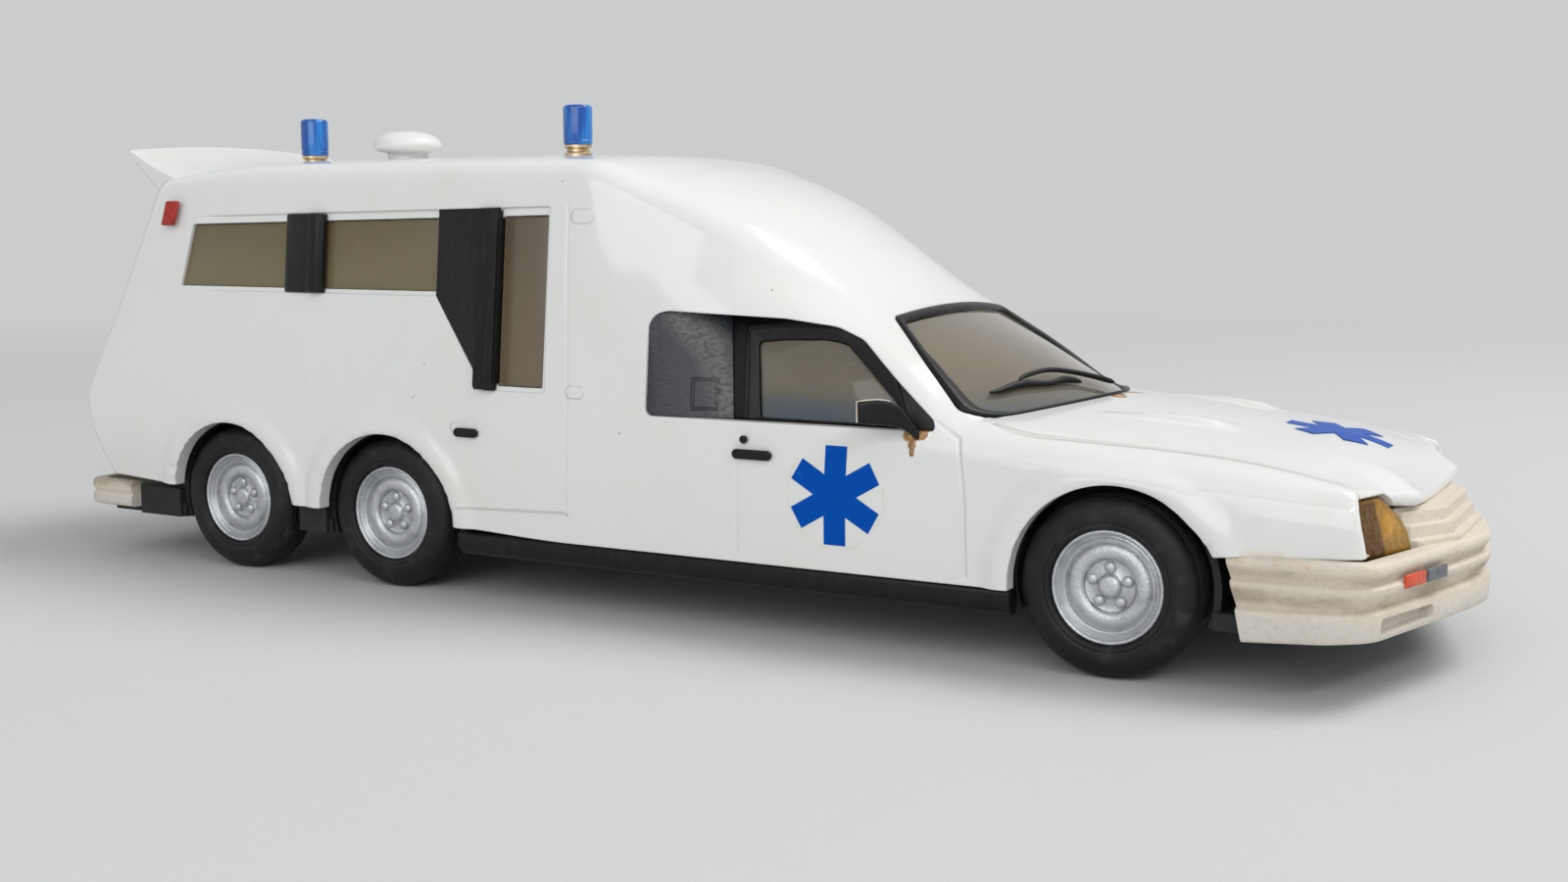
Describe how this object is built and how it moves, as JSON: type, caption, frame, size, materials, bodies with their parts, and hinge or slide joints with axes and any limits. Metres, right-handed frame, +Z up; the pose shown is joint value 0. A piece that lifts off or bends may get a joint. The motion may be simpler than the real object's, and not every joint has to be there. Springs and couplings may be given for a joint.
{
  "type": "model ambulance",
  "caption": "Display-model ambulance: white cast estate-car body with a raised fairing and tall box, roof beacons, rear spoiler, and wheel pairs that roll on axles in a base plate",
  "frame": {"origin": "on the ground under the middle of the model's box", "axes": "+X is the front of the car, +Y its left side, +Z up"},
  "size_m": [0.1404, 0.0464, 0.0471],
  "materials": {
    "paint": "glossy white paint over a cast resin body",
    "casting": "bare cream resin",
    "base": "matt black",
    "trim": "satin black paint",
    "bumper": "aged off-white, matt",
    "headlamp": "yellowed amber lens with ribs",
    "orange_lamp": "orange paint",
    "grey_lamp": "grey paint",
    "pane": "smoked, slightly yellowed clear sheet",
    "frosted_pane": "olive-brown frosted sheet",
    "red_lamp": "red lens",
    "gold": "dull gold metal",
    "blue_lens": "translucent blue",
    "steel": "plain steel wire and screws",
    "interior": "dark grey",
    "rim": "silver-painted cast metal",
    "tyre": "matt black rubber"
  },
  "bodies": {
    "car": {"body_shell": "paint", "spoiler": "paint", "chassis": "base", "sill_right": "trim", "sill_left": "trim", "front_bumper": "bumper", "rear_bumper": "bumper", "grille": "bumper", "headlamp_right": "headlamp", "headlamp_left": "headlamp", "indicators": "orange_lamp", "bumper_lamps": "grey_lamp", "windscreen": "pane", "windscreen_gasket": "trim", "door_pane_right": "pane", "door_pane_left": "pane", "door_frame_right": "trim", "door_frame_left": "trim", "quarter_panel_right": "trim", "quarter_panel_left": "trim", "side_pane_right": "frosted_pane", "side_pane_left": "frosted_pane", "tall_panes": "frosted_pane", "mid_posts": "trim", "door_posts": "trim", "tailgate_pane": "frosted_pane", "tailgate_gasket": "trim", "tail_lamps": "red_lamp", "roof_markers": "red_lamp", "front_beacon_base": "gold", "front_beacon_lens": "blue_lens", "rear_beacon_base": "gold", "rear_beacon_lens": "blue_lens", "roof_vent": "paint", "wiper": "trim", "mirror_right": "trim", "mirror_left": "trim", "door_handles": "trim", "screw_posts": "casting", "base_screws": "steel", "front_seats": "interior", "dashboard": "interior", "steering_wheel": "trim", "bulkhead": "interior"},
    "front_wheels": {"front_axle": "steel", "front_rim_right": "rim", "front_rim_left": "rim", "front_tyre_right": "tyre", "front_tyre_left": "tyre"},
    "middle_wheels": {"middle_axle": "steel", "middle_rim_right": "rim", "middle_rim_left": "rim", "middle_tyre_right": "tyre", "middle_tyre_left": "tyre"},
    "rear_wheels": {"rear_axle": "steel", "rear_rim_right": "rim", "rear_rim_left": "rim", "rear_tyre_right": "tyre", "rear_tyre_left": "tyre"}
  },
  "joints": [
    {"name": "front_axle_spin", "type": "hinge", "parent": "car", "child": "front_wheels", "pos_m": [0.04485, 0, 0.0073], "axis": [0, 1, 0], "continuous": true},
    {"name": "middle_axle_spin", "type": "hinge", "parent": "car", "child": "middle_wheels", "pos_m": [-0.02775, 0, 0.0073], "axis": [0, 1, 0], "continuous": true},
    {"name": "rear_axle_spin", "type": "hinge", "parent": "car", "child": "rear_wheels", "pos_m": [-0.04815, 0, 0.0073], "axis": [0, 1, 0], "continuous": true}
  ]
}
